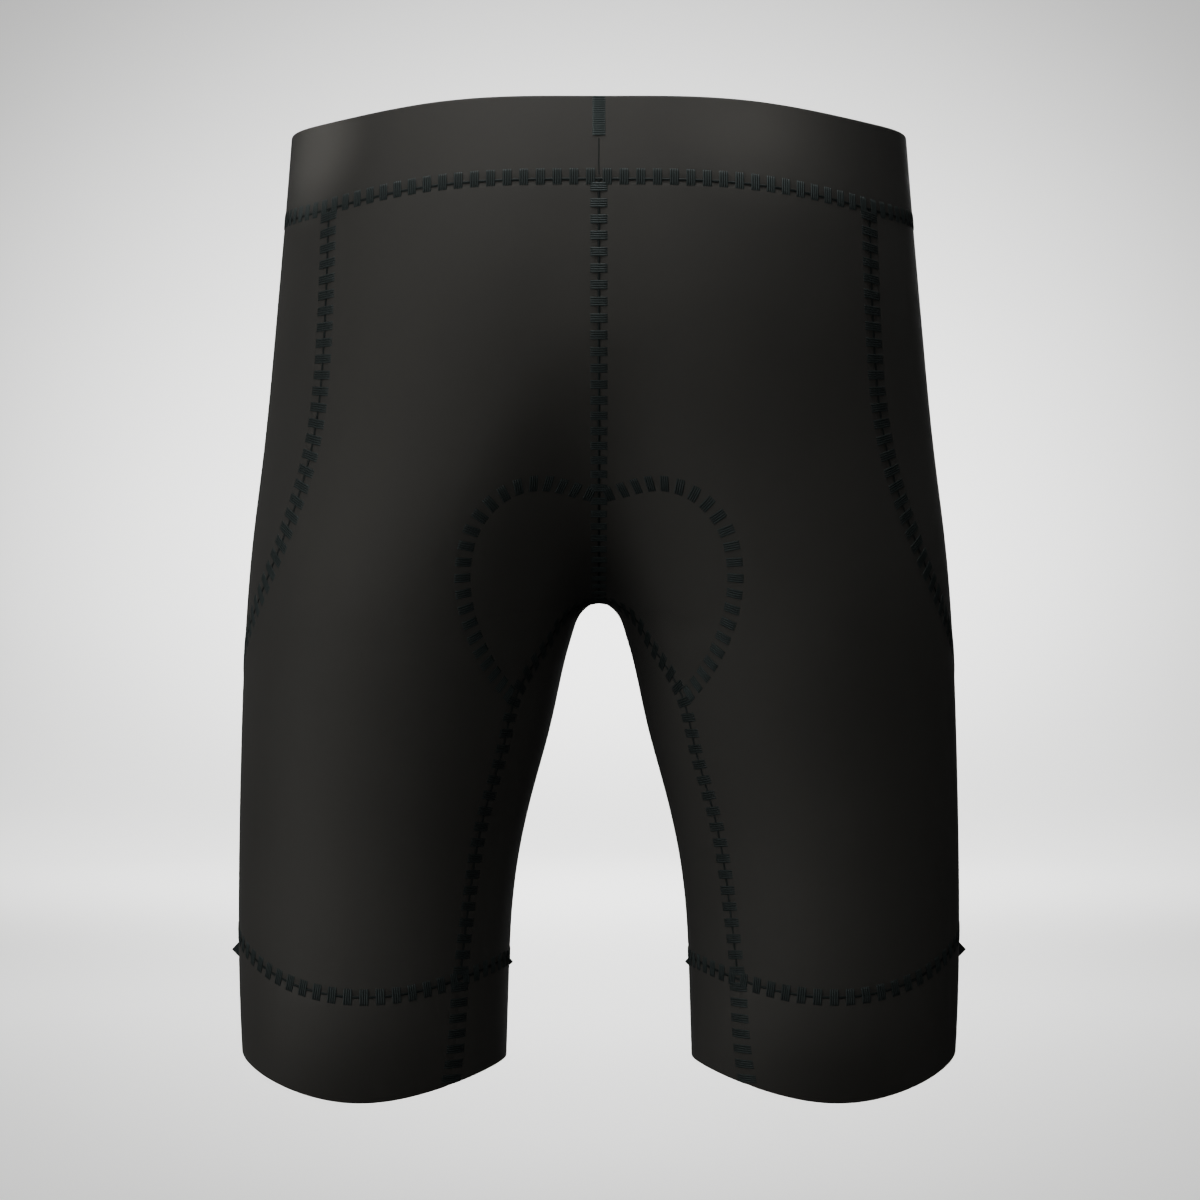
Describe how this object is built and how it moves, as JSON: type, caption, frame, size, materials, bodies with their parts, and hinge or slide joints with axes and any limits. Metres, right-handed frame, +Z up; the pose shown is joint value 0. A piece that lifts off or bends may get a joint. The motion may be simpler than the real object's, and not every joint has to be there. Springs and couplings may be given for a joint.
{
  "type": "triathlon shorts",
  "caption": "Close-fitting triathlon shorts with a sewn waistband, pointed side inserts and hem bands, filled out as when worn.",
  "frame": {"origin": "centre of the waist opening, level with the waist edge at the sides", "axes": "+Z up; the back faces -Y and the front faces +Y; the wearer's right side is +X"},
  "size_m": [0.3566, 0.2224, 0.4737],
  "materials": {
    "panel_knit": "matt black nylon and elastane knit",
    "band_knit": "matt black doubled knit over elastic"
  },
  "bodies": {
    "root": {"waistband": "band_knit", "back_right": "panel_knit", "back_left": "panel_knit", "front_right": "panel_knit", "front_left": "panel_knit", "side_right": "panel_knit", "side_left": "panel_knit", "hem_band_right": "band_knit", "hem_band_left": "band_knit"}
  },
  "joints": []
}
